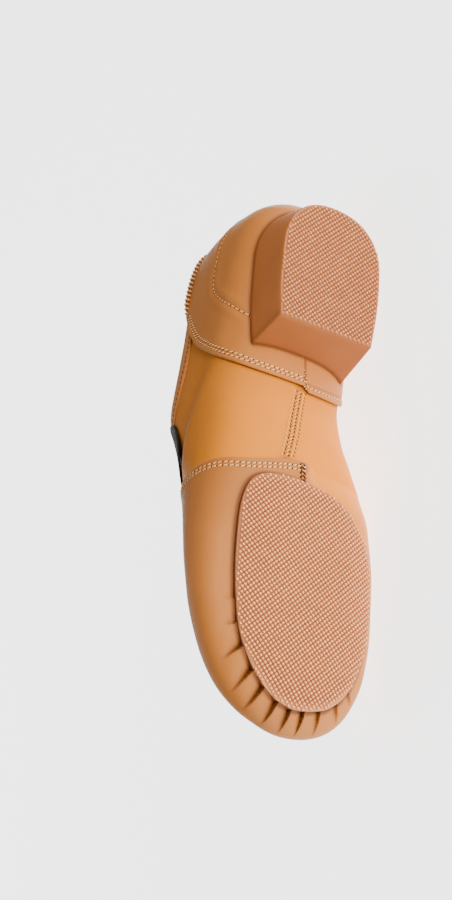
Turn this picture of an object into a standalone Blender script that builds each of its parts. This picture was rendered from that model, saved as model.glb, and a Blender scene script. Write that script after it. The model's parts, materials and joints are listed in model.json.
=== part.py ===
"""Split-sole slip-on dance shoe for the left foot, empty, lying on its inner side.

The shoe is modelled in its own frame: the heel's back at x = 0, the toe at +X, the outer (little toe) side
at +Y, the floor that it would stand on at z = 0. Every leather, sole and insole piece is cut between two
offsets of one form, the last. At the end the whole shoe is laid on its inner side, as it comes to rest.
"""

import math
from collections import namedtuple

import bmesh
import bpy
import numpy as np
from mathutils import Matrix, Vector

MM = 0.001

# Driving dimensions
LAST_LENGTH = 246 * MM
SEAT_GAP = 0.3 * MM  # clearance between pieces that lie on each other
UPPER_WALL = 1.2 * MM  # stretch leather of the arch, which runs inside the whole shoe
VAMP_LEATHER = 1.0 * MM
HEEL_PANEL_LEATHER = 1.3 * MM
GORE_THICKNESS = 1.0 * MM
INSOLE_THICKNESS = 2.0 * MM
TREAD_THICKNESS = 2.2 * MM
HEEL_EDGE_CHAMFER = 0.7 * MM
LASTING_MARGIN = 13 * MM  # leather turned under the forefoot tread and the heel
THROAT_MARGIN = 8 * MM  # leather that the elastic over the throat is sewn to

# Reach of the cutting solids
FAR = 300 * MM  # past the shoe on every side
FOREFOOT_CEILING = 12 * MM  # cuts underneath stay below these
TREAD_CEILING = 14 * MM
HEEL_CEILING = 28 * MM

# Mesh fineness of the form
RINGS = 26
RING_POINTS = 32
OUTLINE_STEPS = 5  # points on each span of a drawn curve
WELD = 0.002 * MM
SHARP_ANGLE = math.radians(35)

# Offsets of the form, outwards from the upper's own outer face
VAMP_FACES = (SEAT_GAP, SEAT_GAP + VAMP_LEATHER)
HEEL_PANEL_FACES = (SEAT_GAP, SEAT_GAP + HEEL_PANEL_LEATHER)
GORE_FACES = (SEAT_GAP, SEAT_GAP + GORE_THICKNESS)
TREAD_FACES = (VAMP_FACES[1] + SEAT_GAP, VAMP_FACES[1] + SEAT_GAP + TREAD_THICKNESS)
INSOLE_FACES = (-UPPER_WALL - SEAT_GAP - INSOLE_THICKNESS, -UPPER_WALL - SEAT_GAP)

# Sections of the last, in mm. inner and outer are the sides' y, floor and crown the lowest and highest z,
# girth the z of the widest level, ridge the crown's shift in y, arch the lift of the floor's inner side.
# low_square and high_square are the powers of the curves below and above the girth: 2 is an ellipse.
Section = namedtuple("Section", "x inner outer floor crown girth ridge arch low_square high_square")
LAST = [
    Section(0, 0, 0, 37, 37, 37, 0, 0, 2.3, 2.0),
    Section(4, -15.0, 15.0, 24.0, 62, 37, 0, 0, 2.5, 2.0),
    Section(10, -22.5, 22.5, 19.4, 82, 37, 0, 0, 2.8, 2.0),
    Section(22, -28.5, 28.5, 18.6, 97, 37, 0, 0, 3.0, 2.0),
    Section(45, -31.5, 32.0, 18.6, 106, 37, 0, 0, 3.0, 2.0),
    Section(70, -31.0, 33.5, 18.6, 108, 38, 0, 1, 3.0, 2.1),
    Section(92, -30.5, 35.5, 16.0, 99, 39, -1, 5, 2.8, 2.1),
    Section(108, -32.0, 37.5, 11.6, 87, 36, -3, 5, 2.7, 2.2),
    Section(122, -34.5, 39.5, 7.0, 77, 32, -4, 3, 2.7, 2.2),
    Section(136, -37.5, 41.5, 4.4, 68.5, 28, -5, 1, 2.8, 2.2),
    Section(152, -40.0, 43.5, 3.6, 59, 24, -6, 0, 2.9, 2.2),
    Section(174, -42.0, 45.0, 3.3, 47.5, 20, -7, 0, 3.0, 2.2),
    Section(194, -42.0, 43.5, 3.3, 39.5, 17.5, -7, 0, 3.0, 2.2),
    Section(214, -40.0, 38.0, 3.6, 33, 16, -6, 0, 2.9, 2.2),
    Section(229, -34.5, 29.5, 4.9, 28, 15, -4, 0, 2.7, 2.2),
    Section(239, -26.5, 18.0, 7.4, 22.5, 14.3, -2, 0, 2.5, 2.1),
    Section(243.5, -18.5, 8.5, 10.0, 18, 14, -1, 0, 2.3, 2.0),
    Section(246, -4, -4, 14, 14, 14, 0, 0, 2.2, 2.0),
]

ARCH_FALLOFF = 1.5  # power by which the arch's lift fades from the inner side to the middle

# Side views of the edges, in mm: x and z from one end of the edge to the other
Edge = namedtuple("Edge", "x z")
TOPLINE = [
    Edge(-40, 84),
    Edge(4, 77),
    Edge(36, 71),
    Edge(68, 67),
    Edge(89, 70),
    Edge(102, 80),
    Edge(112, 100),
]
VAMP_EDGE = [Edge(130, -20), Edge(130, 6), Edge(130.5, 22), Edge(132, 40), Edge(136, 60), Edge(142, 80)]
HEEL_PANEL_EDGE = [Edge(87, -20), Edge(87, 14), Edge(90.5, 28), Edge(91, 42), Edge(86, 56), Edge(77, 78)]
GORE_EDGE = [
    Edge(98, 96),
    Edge(100.5, 78),
    Edge(106, 65),
    Edge(117, 57.5),
    Edge(132, 54.5),
    Edge(143, 58),
    Edge(154, 70),
]
INSTEP_MIDDLE = Edge(124, 86)  # the elastic's edge is drawn in towards this spot
INSOLE_CEILING = [Edge(-40, 32), Edge(70, 32), Edge(105, 26), Edge(140, 16), Edge(260, 14)]

# Plan outlines, in mm, from the back end to the front end: x with the inner and the outer y
Breadth = namedtuple("Breadth", "x inner outer")
TREAD_OUTLINE = [
    Breadth(138.5, -8, 19),
    Breadth(140.5, -15, 25),
    Breadth(147, -23, 29.5),
    Breadth(160, -32, 32.5),
    Breadth(178, -36.5, 33),
    Breadth(196, -36.5, 31.5),
    Breadth(213, -33.5, 27.5),
    Breadth(226, -27.5, 19.5),
    Breadth(234, -19, 10.5),
    Breadth(237, -11, 3),
]
HEEL_TREAD_OUTLINE = [
    Breadth(13, -10.5, 10.5),
    Breadth(16, -17.3, 17.3),
    Breadth(24, -23, 23),
    Breadth(37, -25.6, 25.6),
    Breadth(54, -25.6, 25.6),
    Breadth(70, -24, 24),
]
INSOLE_OUTLINE = [
    Breadth(9, -9, 9),
    Breadth(14, -16, 16),
    Breadth(26, -21.5, 21.5),
    Breadth(60, -22.5, 23.5),
    Breadth(100, -19, 27),
    Breadth(130, -26, 32),
    Breadth(165, -33, 36),
    Breadth(192, -33.5, 34),
    Breadth(212, -30, 26),
    Breadth(226, -24, 14.5),
    Breadth(233, -17, 4),
    Breadth(236, -11, -3),
]

# The heel block widens and its front slants forwards from the tread up to the heel seat
HEEL_SEAT_RISE = 26 * MM
HEEL_SEAT_WIDTH = 1.06
HEEL_BACK_SLANT = 4 * MM
HEEL_FRONT_SLANT = 11 * MM

# Density of each material in kg/m3, for the balance point that the resting pose is worked out from
LEATHER, RUBBER, ELASTIC, FOAM = 860, 1100, 600, 400

Finish = namedtuple("Finish", "name colour roughness")
TAN_LEATHER = Finish("tan_leather", (0.50, 0.24, 0.085), 0.45)
ARCH_LEATHER = Finish("arch_leather", (0.54, 0.26, 0.09), 0.42)
SOLE_RUBBER = Finish("sole_rubber", (0.47, 0.20, 0.105), 0.7)
DARK_ELASTIC = Finish("dark_elastic", (0.012, 0.008, 0.007), 0.85)
INSOLE_FABRIC = Finish("insole_fabric", (0.42, 0.27, 0.15), 0.9)


def clear_scene():
    for obj in list(bpy.data.objects):
        bpy.data.objects.remove(obj)


def spline(knots, values, at):
    """Smooth values through the knots that never overshoot between two of them."""
    knots, values, at = (np.asarray(a, float) for a in (knots, values, at))
    step = np.diff(knots)
    slope = np.diff(values) / step
    tangent = np.concatenate(([slope[0]], np.zeros(len(knots) - 2), [slope[-1]]))
    same_way = slope[:-1] * slope[1:] > 0
    early, late = 2 * step[1:] + step[:-1], step[1:] + 2 * step[:-1]
    with np.errstate(divide="ignore", invalid="ignore"):
        mean = (early + late) / (early / slope[:-1] + late / slope[1:])
    tangent[1:-1] = np.where(same_way, mean, 0)
    span = np.clip(np.searchsorted(knots, at, side="right") - 1, 0, len(step) - 1)
    t = (at - knots[span]) / step[span]
    start = values[span] * (1 + 2 * t) * (1 - t) ** 2 + tangent[span] * step[span] * t * (1 - t) ** 2
    end = values[span + 1] * t**2 * (3 - 2 * t) + tangent[span + 1] * step[span] * t**2 * (t - 1)
    return start + end


def smooth_path(points):
    """Points on a Catmull-Rom curve through a list of (a, b) places."""
    places = np.array(points, float)
    ends = np.vstack((2 * places[0] - places[1], places, 2 * places[-1] - places[-2]))
    path = []
    for k in range(1, len(ends) - 2):
        before, start, end, after = ends[k - 1 : k + 3]
        for t in np.arange(OUTLINE_STEPS) / OUTLINE_STEPS:
            square = 2 * before - 5 * start + 4 * end - after
            cube = 3 * start - before - 3 * end + after
            path.append(start + 0.5 * t * (end - before + square * t + cube * t * t))
    path.append(places[-1])
    return path


def form_points():
    """Rings of points on the last, from heel to toe, and its two end points, in metres."""
    length = LAST[-1].x
    table = {name: [getattr(section, name) for section in LAST] for name in Section._fields}
    turn = np.arccos(1 - 2 * np.array(table["x"]) / length)
    at = np.linspace(0, math.pi, RINGS + 2)[1:-1]
    column = {name: spline(turn, table[name], at)[:, None] for name in Section._fields}
    angle = np.arange(RING_POINTS) * 2 * math.pi / RING_POINTS
    across, up = np.cos(angle)[None, :], np.sin(angle)[None, :]
    square = np.where(up > 0, column["high_square"], column["low_square"])
    side = np.sign(across) * np.abs(across) ** (2 / square)
    rise = np.abs(up) ** (2 / square)
    half = (column["outer"] - column["inner"]) / 2
    above = np.where(up > 0, column["crown"] - column["girth"], column["floor"] - column["girth"])
    inner_low = np.clip(-side, 0, 1) ** ARCH_FALLOFF * np.where(up < 0, rise, 0)
    x = length * (1 - np.cos(at))[:, None] / 2 + 0 * side
    y = column["inner"] + half + half * side + column["ridge"] * np.where(up > 0, rise, 0)
    z = column["girth"] + above * rise + column["arch"] * inner_low
    scale = LAST_LENGTH / length
    heel_end = Vector((0, LAST[0].outer, LAST[0].girth)) * scale
    toe_end = Vector((length, LAST[-1].outer, LAST[-1].girth)) * scale
    return np.stack((x, y, z), axis=2) * scale, heel_end, toe_end


def form_mesh(mesh, offset, outward=True):
    """Adds the last, grown by offset along its normals, to a bmesh as one closed skin.

    Its triangles have the same diagonals at every offset, so that two layers stay clear of each other.
    """
    rings, heel_end, toe_end = form_points()
    heel_ring, toe_ring = (np.tile(end, (1, RING_POINTS, 1)) for end in (heel_end, toe_end))
    padded = np.concatenate((heel_ring, rings, toe_ring))
    along = padded[2:] - padded[:-2]
    around = np.roll(rings, -1, axis=1) - np.roll(rings, 1, axis=1)
    normal = np.cross(around, along)
    normal /= np.linalg.norm(normal, axis=2, keepdims=True)
    grown = rings + offset * normal
    verts = [[mesh.verts.new(point) for point in ring] for ring in grown]
    back = mesh.verts.new(heel_end - Vector((offset, 0, 0)))
    front = mesh.verts.new(toe_end + Vector((offset, 0, 0)))
    faces = []
    for i in range(RING_POINTS):
        k = (i + 1) % RING_POINTS
        faces.append((back, verts[0][k], verts[0][i]))
        faces.append((front, verts[-1][i], verts[-1][k]))
        for near, far in zip(verts[:-1], verts[1:]):
            faces.append((near[i], near[k], far[k]))
            faces.append((near[i], far[k], far[i]))
    for corners in faces:
        mesh.faces.new(corners if outward else corners[::-1])


def new_object(name, mesh):
    data = bpy.data.meshes.new(name)
    mesh.to_mesh(data)
    mesh.free()
    obj = bpy.data.objects.new(name, data)
    bpy.context.scene.collection.objects.link(obj)
    return obj


def form(name, offset):
    mesh = bmesh.new()
    form_mesh(mesh, offset)
    return new_object(name, mesh)


def shell(name, faces):
    """The layer between two offsets of the last, closed all round until it is cut."""
    mesh = bmesh.new()
    form_mesh(mesh, max(faces))
    form_mesh(mesh, min(faces), outward=False)
    return new_object(name, mesh)


def prism(outline, axis, low, high):
    """A cutting solid: an outline in the plane across the axis ("Y" or "Z"), drawn out from low to high."""
    mesh = bmesh.new()
    lift = {"Y": lambda a, b, c: (a, c, b), "Z": lambda a, b, c: (a, b, c)}[axis]
    ends = [[mesh.verts.new(lift(a, b, level)) for a, b in outline] for level in (low, high)]
    mesh.faces.new(ends[0])
    mesh.faces.new(ends[1])
    for i in range(len(outline)):
        k = (i + 1) % len(outline)
        mesh.faces.new((ends[0][i], ends[0][k], ends[1][k], ends[1][i]))
    bmesh.ops.recalc_face_normals(mesh, faces=mesh.faces)
    return new_object("cutter", mesh)


def cut(obj, cutter, operation="DIFFERENCE"):
    """Applies one Boolean and removes its cutter."""
    modifier = obj.modifiers.new(operation.lower(), "BOOLEAN")
    modifier.object = cutter
    modifier.operation = operation
    bpy.context.view_layer.update()
    graph = bpy.context.evaluated_depsgraph_get()
    result = bpy.data.meshes.new_from_object(obj.evaluated_get(graph))
    obj.modifiers.clear()
    obj.data = result
    bpy.data.objects.remove(cutter)
    mesh = bmesh.new()
    mesh.from_mesh(result)
    bmesh.ops.remove_doubles(mesh, verts=mesh.verts, dist=WELD)
    bmesh.ops.dissolve_degenerate(mesh, edges=mesh.edges, dist=WELD)
    mesh.to_mesh(result)
    mesh.free()
    return obj


def side_region(edge, x=None, z=None):
    """A cutting solid seen from the side: what lies between a drawn edge and a far level of x or of z."""
    path = [(a * MM, b * MM) for a, b in smooth_path(edge)]
    corners = [(a if x is None else x, b if z is None else z) for a, b in (path[-1], path[0])]
    return prism(path + corners, "Y", -FAR, FAR)


def instep_region(margin):
    """A cutting solid over the elastic's place on the instep, its edge drawn in by margin."""
    edge, middle = np.array(GORE_EDGE), np.array(INSTEP_MIDDLE)
    inwards = middle - edge
    inwards /= np.linalg.norm(inwards, axis=1, keepdims=True)
    return side_region(edge + inwards * margin / MM, z=FAR)


def plan_outline(breadths, inset=0.0):
    """A closed outline in plan through the inner and outer sides of a table, pulled in by inset."""
    inner = [(b.x, b.inner) for b in breadths]
    outer = [(b.x, b.outer) for b in breadths]
    path = np.array(smooth_path(outer) + smooth_path(inner[::-1])) * MM
    if inset:
        middle = path.mean(axis=0)
        half = np.ptp(path, axis=0) / 2
        path = middle + (path - middle) * (1 - inset / half)
    return [tuple(point) for point in path]


def plan_region(breadths, low, high, inset=0.0):
    return prism(plan_outline(breadths, inset), "Z", low, high)


def collar_opening():
    return side_region(TOPLINE, z=FAR)


def lasting_openings(obj, breadths, ceiling):
    """Opens the leather underneath, inside the margin that is turned under a tread."""
    return cut(obj, plan_region(breadths, -FAR, ceiling, LASTING_MARGIN))


def finish(obj, look):
    material = bpy.data.materials.get(look.name) or bpy.data.materials.new(look.name)
    material.use_nodes = True
    shader = material.node_tree.nodes["Principled BSDF"]
    shader.inputs["Base Color"].default_value = (*look.colour, 1)
    shader.inputs["Roughness"].default_value = look.roughness
    obj.data.materials.clear()
    obj.data.materials.append(material)
    obj.data.shade_smooth()
    obj.data.set_sharp_from_angle(angle=SHARP_ANGLE)
    return obj


def make_upper():
    """The hollow stretch-leather upper: open at the collar, at the throat and under both treads."""
    upper = shell("upper", (0, -UPPER_WALL))
    cut(upper, collar_opening())
    cut(upper, instep_region(THROAT_MARGIN))
    lasting_openings(upper, TREAD_OUTLINE, FOREFOOT_CEILING)
    lasting_openings(upper, HEEL_TREAD_OUTLINE, HEEL_CEILING)
    return finish(upper, ARCH_LEATHER)


def make_vamp():
    """The leather over the toes and the ball, with its margin turned under the forefoot tread."""
    vamp = shell("vamp", VAMP_FACES)
    cut(vamp, side_region(VAMP_EDGE, x=FAR), "INTERSECT")
    cut(vamp, instep_region(-SEAT_GAP))
    lasting_openings(vamp, TREAD_OUTLINE, FOREFOOT_CEILING)
    return finish(vamp, TAN_LEATHER)


def make_heel_panel():
    """The leather round the heel, with its margin turned under the heel block."""
    panel = shell("heel_panel", HEEL_PANEL_FACES)
    cut(panel, side_region(HEEL_PANEL_EDGE, x=-FAR), "INTERSECT")
    cut(panel, collar_opening())
    lasting_openings(panel, HEEL_TREAD_OUTLINE, HEEL_CEILING)
    return finish(panel, TAN_LEATHER)


def make_gore():
    """The elastic panel over the instep that closes the throat."""
    gore = shell("gore", GORE_FACES)
    cut(gore, collar_opening())
    cut(gore, instep_region(0), "INTERSECT")
    return finish(gore, DARK_ELASTIC)


def make_forefoot_tread():
    """The front half of the split sole, flat where it stands."""
    tread = shell("forefoot_tread", TREAD_FACES)
    cut(tread, plan_region(TREAD_OUTLINE, 0, TREAD_CEILING), "INTERSECT")
    return finish(tread, SOLE_RUBBER)


def make_heel():
    """The heel block: a D in plan with a straight slanted front, hollowed to the heel seat."""
    low = np.array(plan_outline(HEEL_TREAD_OUTLINE))
    back, front = low[:, 0].min(), low[:, 0].max()
    share = ((low[:, 0] - back) / (front - back))[:, None]
    slant = np.hstack((share * (HEEL_BACK_SLANT + HEEL_FRONT_SLANT) - HEEL_BACK_SLANT, 0 * share))
    high = low * (1, HEEL_SEAT_WIDTH) + slant
    middle = low.mean(axis=0)
    edge = low + (middle - low) * HEEL_EDGE_CHAMFER / np.linalg.norm(low - middle, axis=1, keepdims=True)
    side_start = low + slant * HEEL_EDGE_CHAMFER / HEEL_SEAT_RISE
    levels = [(edge, 0), (side_start, HEEL_EDGE_CHAMFER), (high, HEEL_SEAT_RISE)]
    mesh = bmesh.new()
    rings = [[mesh.verts.new((x, y, z)) for x, y in outline] for outline, z in levels]
    mesh.faces.new(rings[0])
    mesh.faces.new(rings[-1])
    for near, far in zip(rings[:-1], rings[1:]):
        for i in range(len(near)):
            k = (i + 1) % len(near)
            mesh.faces.new((near[i], near[k], far[k], far[i]))
    bmesh.ops.recalc_face_normals(mesh, faces=mesh.faces)
    heel = new_object("heel", mesh)
    cut(heel, form("cutter_seat", HEEL_PANEL_FACES[1] + SEAT_GAP))
    return finish(heel, SOLE_RUBBER)


def make_insole():
    """The sock that lines the floor of the shoe from heel to toe."""
    insole = shell("insole", INSOLE_FACES)
    cut(insole, plan_region(INSOLE_OUTLINE, -FAR, FAR), "INTERSECT")
    cut(insole, side_region(INSOLE_CEILING, z=-FAR), "INTERSECT")
    return finish(insole, INSOLE_FABRIC)


def volume_and_moment(obj):
    """Volume of a closed mesh and its first moment."""
    obj.data.calc_loop_triangles()
    volume, moment = 0.0, Vector()
    for triangle in obj.data.loop_triangles:
        a, b, c = (obj.data.vertices[i].co for i in triangle.vertices)
        part = a.dot(b.cross(c)) / 6
        volume += part
        moment += part * (a + b + c) / 4
    return volume, moment


def balance_point(pieces):
    mass, moment = 0.0, Vector()
    for obj, density in pieces:
        volume, first = volume_and_moment(obj)
        mass += density * volume
        moment += density * first
    return moment / mass


def resting_facet(pieces):
    """The facet of the shoe's hull, on its inner side, that lies under the balance point."""
    centre = balance_point(pieces)
    hull = bmesh.new()
    for obj, _ in pieces:
        for vertex in obj.data.vertices:
            hull.verts.new(vertex.co)
    bmesh.ops.convex_hull(hull, input=hull.verts)
    hull.normal_update()
    inward = Vector((0, -1, 0))
    for face in sorted(hull.faces, key=lambda f: -f.normal.dot(inward)):
        normal = face.normal.copy()
        corners = [v.co.copy() for v in face.verts]
        sides = [(b - a).cross(centre - a).dot(normal) for a, b in zip(corners, corners[1:] + corners[:1])]
        if min(sides) > 0:
            hull.free()
            return normal, corners[0]
    raise ValueError("the shoe has no rest on its inner side")


def lay_down(pieces):
    """Parents every piece to one empty that lays the shoe on its inner side: sole to -Y, toe to -X."""
    down, contact = resting_facet(pieces)
    up = -down
    heelwards = (Vector((-1, 0, 0)) + up.x * up).normalized()
    turn = Matrix((heelwards, up.cross(heelwards), up))
    points = np.array([turn @ v.co for obj, _ in pieces for v in obj.data.vertices])
    middle = (points.min(axis=0) + points.max(axis=0)) / 2
    place = Vector((-middle[0], -middle[1], -(turn @ contact).z))
    frame = bpy.data.objects.new("lying_shoe", None)
    bpy.context.scene.collection.objects.link(frame)
    frame.matrix_world = Matrix.Translation(place) @ turn.to_4x4()
    for obj, _ in pieces:
        obj.parent = frame


def main():
    clear_scene()
    pieces = [
        (make_upper(), LEATHER),
        (make_vamp(), LEATHER),
        (make_heel_panel(), LEATHER),
        (make_gore(), ELASTIC),
        (make_forefoot_tread(), RUBBER),
        (make_heel(), RUBBER),
        (make_insole(), FOAM),
    ]
    lay_down(pieces)


main()
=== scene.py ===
import json
import math

import bpy
import numpy as np
from mathutils import Matrix, Vector
from mathutils.kdtree import KDTree


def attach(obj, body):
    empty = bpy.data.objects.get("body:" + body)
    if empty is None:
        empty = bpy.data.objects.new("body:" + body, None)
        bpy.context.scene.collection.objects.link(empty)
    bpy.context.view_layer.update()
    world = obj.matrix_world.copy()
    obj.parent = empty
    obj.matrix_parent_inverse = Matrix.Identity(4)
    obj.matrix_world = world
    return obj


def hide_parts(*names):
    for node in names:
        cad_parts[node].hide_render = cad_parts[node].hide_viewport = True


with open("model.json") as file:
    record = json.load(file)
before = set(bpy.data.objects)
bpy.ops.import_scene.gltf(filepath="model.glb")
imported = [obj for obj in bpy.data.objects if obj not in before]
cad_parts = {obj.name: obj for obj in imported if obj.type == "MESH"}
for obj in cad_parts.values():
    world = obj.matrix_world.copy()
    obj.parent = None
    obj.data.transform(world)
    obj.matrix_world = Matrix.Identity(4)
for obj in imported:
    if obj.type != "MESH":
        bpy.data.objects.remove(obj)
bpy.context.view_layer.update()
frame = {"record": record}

mm = 0.001
farOff = 1e3  # past the shoe on every side
rng = np.random.default_rng(7)

# The shoe's own frame, in mm: x from the heel's back to the toe, y to the outer side, z up from the treads.
# The two tread mounts of the record place it in the row frame.
heelMountAt = (41, 0, 0)
mounts = {m["name"]: m for m in frame["record"]["mounts"]}
heelSpot, foreSpot = (Vector(mounts[name]["pos_m"]) for name in ("heel_tread", "forefoot_tread"))
zWay = -Vector(mounts["heel_tread"]["axis"]).normalized()
xWay = (foreSpot - heelSpot).normalized()
yWay = zWay.cross(xWay).normalized()
lying = Matrix((xWay, yWay, zWay)).transposed().to_4x4()
lying.translation = heelSpot - lying.to_3x3() @ Vector(heelMountAt) * mm


# The last, the form that every piece lies on. A spot on it is a unit direction: the heel's back is +X,
# the toe -X, the outer side +Y and the crown +Z.
last = {
    "length": 246,
    "names": ["x", "inner", "outer", "floor", "crown", "girth", "ridge", "arch", "lowSquare", "highSquare"],
    "sections": [
        (0, 0, 0, 37, 37, 37, 0, 0, 2.3, 2.0),
        (4, -15.0, 15.0, 24.0, 62, 37, 0, 0, 2.5, 2.0),
        (10, -22.5, 22.5, 19.4, 82, 37, 0, 0, 2.8, 2.0),
        (22, -28.5, 28.5, 18.6, 97, 37, 0, 0, 3.0, 2.0),
        (45, -31.5, 32.0, 18.6, 106, 37, 0, 0, 3.0, 2.0),
        (70, -31.0, 33.5, 18.6, 108, 38, 0, 1, 3.0, 2.1),
        (92, -30.5, 35.5, 16.0, 99, 39, -1, 5, 2.8, 2.1),
        (108, -32.0, 37.5, 11.6, 87, 36, -3, 5, 2.7, 2.2),
        (122, -34.5, 39.5, 7.0, 77, 32, -4, 3, 2.7, 2.2),
        (136, -37.5, 41.5, 4.4, 68.5, 28, -5, 1, 2.8, 2.2),
        (152, -40.0, 43.5, 3.6, 59, 24, -6, 0, 2.9, 2.2),
        (174, -42.0, 45.0, 3.3, 47.5, 20, -7, 0, 3.0, 2.2),
        (194, -42.0, 43.5, 3.3, 39.5, 17.5, -7, 0, 3.0, 2.2),
        (214, -40.0, 38.0, 3.6, 33, 16, -6, 0, 2.9, 2.2),
        (229, -34.5, 29.5, 4.9, 28, 15, -4, 0, 2.7, 2.2),
        (239, -26.5, 18.0, 7.4, 22.5, 14.3, -2, 0, 2.5, 2.1),
        (243.5, -18.5, 8.5, 10.0, 18, 14, -1, 0, 2.3, 2.0),
        (246, -4, -4, 14, 14, 14, 0, 0, 2.2, 2.0),
    ],
    "archFalloff": 1.5,
    "samples": 4001,
}


def throughKnots(knots, values, at):
    # a smooth curve through the knots that never overshoots between two of them
    step = np.diff(knots)
    slope = np.diff(values) / step
    tangent = np.concatenate(([slope[0]], np.zeros(len(knots) - 2), [slope[-1]]))
    early, late = 2 * step[1:] + step[:-1], step[1:] + 2 * step[:-1]
    with np.errstate(divide="ignore", invalid="ignore"):
        mean = (early + late) / (early / slope[:-1] + late / slope[1:])
    tangent[1:-1] = np.where(slope[:-1] * slope[1:] > 0, mean, 0)
    span = np.clip(np.searchsorted(knots, at, side="right") - 1, 0, len(step) - 1)
    t = (at - knots[span]) / step[span]
    start = values[span] * (1 + 2 * t) * (1 - t) ** 2 + tangent[span] * step[span] * t * (1 - t) ** 2
    return start + values[span + 1] * t**2 * (3 - 2 * t) + tangent[span + 1] * step[span] * t**2 * (t - 1)


sections = np.array(last["sections"], float).T
sectionTurns = np.arccos(1 - 2 * sections[0] / last["length"])
turns = np.linspace(0, math.pi, last["samples"])
lastColumns = {name: throughKnots(sectionTurns, row, turns) for name, row in zip(last["names"], sections)}


def unit(v):
    return v / np.maximum(np.linalg.norm(v, axis=-1, keepdims=True), 1e-12)


def lastPoints(d):
    turn = np.arccos(np.clip(d[..., 0], -1, 1))
    angle = np.arctan2(d[..., 2], d[..., 1])
    at = {name: np.interp(turn, turns, column) for name, column in lastColumns.items()}
    across, up = np.cos(angle), np.sin(angle)
    high = up > 0
    square = np.where(high, at["highSquare"], at["lowSquare"])
    reach = (np.abs(across) ** square + np.abs(up) ** square) ** (-1 / square)
    side, rise = across * reach, np.abs(up) * reach
    half = (at["outer"] - at["inner"]) / 2
    y = at["inner"] + half + half * side + np.where(high, at["ridge"] * rise, 0)
    innerLow = np.clip(-side, 0, 1) ** last["archFalloff"] * np.where(high, 0, rise)
    fromGirth = np.where(high, at["crown"], at["floor"]) - at["girth"]
    z = at["girth"] + fromGirth * rise + at["arch"] * innerLow
    return np.stack((last["length"] * (1 - np.cos(turn)) / 2, y, z), axis=-1)


def tangents(d):
    # two ways across a direction
    helper = np.where(np.abs(d[..., 2:]) < 0.8, [0.0, 0, 1], [0.0, 1, 0])
    u = unit(np.cross(d, helper))
    return u, np.cross(d, u)


def lastNormals(d, step=2e-3):
    u, v = tangents(d)
    alongU = lastPoints(unit(d + step * u)) - lastPoints(unit(d - step * u))
    alongV = lastPoints(unit(d + step * v)) - lastPoints(unit(d - step * v))
    return -unit(np.cross(alongU, alongV))


def onSurface(d, offset):
    normals = lastNormals(d)
    return lastPoints(d) + offset * normals, normals


def direction(x, angleDegrees):
    turn, angle = math.acos(1 - 2 * x / last["length"]), math.radians(angleDegrees)
    return np.array([math.cos(turn), math.sin(turn) * math.cos(angle), math.sin(turn) * math.sin(angle)])


def spotAt(x, value, axis, low, high, halvings=40):
    # the spot at x whose y (axis 1) or z (axis 2) is value, sought between two angles in degrees
    x, value = np.broadcast_arrays(np.asarray(x, float), np.asarray(value, float))
    turn = np.arccos(np.clip(1 - 2 * x / last["length"], -1, 1))
    a, b = np.full(x.shape, math.radians(low)), np.full(x.shape, math.radians(high))

    def directions(angle):
        return np.stack((np.cos(turn), np.sin(turn) * np.cos(angle), np.sin(turn) * np.sin(angle)), axis=-1)

    rising = lastPoints(directions(b))[..., axis] > lastPoints(directions(a))[..., axis]
    for _ in range(halvings):
        middle = (a + b) / 2
        under = (lastPoints(directions(middle))[..., axis] < value) == rising
        a, b = np.where(under, middle, a), np.where(under, b, middle)
    return directions(a)


def bottomSpot(x, y):
    return spotAt(x, y, 1, -179.9, -0.1)


def outerSpot(x, z):
    return spotAt(x, z, 2, -89.9, 89.9)


def innerSpot(x, z):
    return spotAt(x, z, 2, 269.9, 90.1)


# Curves
def smoothPath(points, steps=8):
    places = np.array(points, float)
    ends = np.vstack((2 * places[0] - places[1], places, 2 * places[-1] - places[-2]))
    t = (np.arange(steps) / steps)[:, None]
    path = []
    for k in range(1, len(ends) - 2):
        before, start, end, after = ends[k - 1 : k + 3]
        square = 2 * before - 5 * start + 4 * end - after
        cube = 3 * start - before - 3 * end + after
        path.append(start + 0.5 * t * (end - before + square * t + cube * t * t))
    return np.vstack((*path, places[-1:]))


def lengthAlong(path):
    return np.concatenate(([0], np.cumsum(np.linalg.norm(np.diff(path, axis=0), axis=1))))


def valuesAt(at, along, values):
    # every column of values, read at some lengths along a path
    return np.stack([np.interp(at, along, values[:, k]) for k in range(values.shape[1])], axis=1)


def evenly(path, count, closed=False):
    if closed:
        path = np.vstack((path, path[:1]))
    along = lengthAlong(path)
    return valuesAt(np.linspace(0, along[-1], count + closed)[:count], along, path)


def smoothStep(low, high, value):
    t = np.clip((value - low) / (high - low), 0, 1)
    return t * t * (3 - 2 * t)


def fadeOut(low, high, value):
    return 1 - smoothStep(low, high, value)


def gauss(value, middle, width):
    return np.exp(-(((value - middle) / width) ** 2))


def nearestOn(path, points):
    # index of the place on a path that lies nearest to each point
    tree = KDTree(len(path))
    for k, spot in enumerate(path):
        tree.insert(spot, k)
    tree.balance()
    return np.array([tree.find(p)[1] for p in points])


# Meshes
def pick(piece):
    bpy.ops.object.select_all(action="DESELECT")
    piece.select_set(True)
    bpy.context.view_layer.objects.active = piece


def loft(name, loops):
    # closed loops of points, rows of an array, joined by faces from the first to the last
    rows, around = loops.shape[:2]
    bpy.ops.object.select_all(action="DESELECT")
    bpy.ops.mesh.primitive_grid_add(x_subdivisions=around, y_subdivisions=rows - 1, size=1)
    piece = bpy.context.object
    piece.name = piece.data.name = name
    grid = np.empty(len(piece.data.vertices) * 3)
    piece.data.vertices.foreach_get("co", grid)
    grid = grid.reshape(-1, 3)
    column = np.rint((grid[:, 0] + 0.5) * around).astype(int) % around
    row = np.rint((grid[:, 1] + 0.5) * (rows - 1)).astype(int)
    piece.data.vertices.foreach_set("co", (loops[row, column] * mm).ravel())
    return piece, row, column


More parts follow.
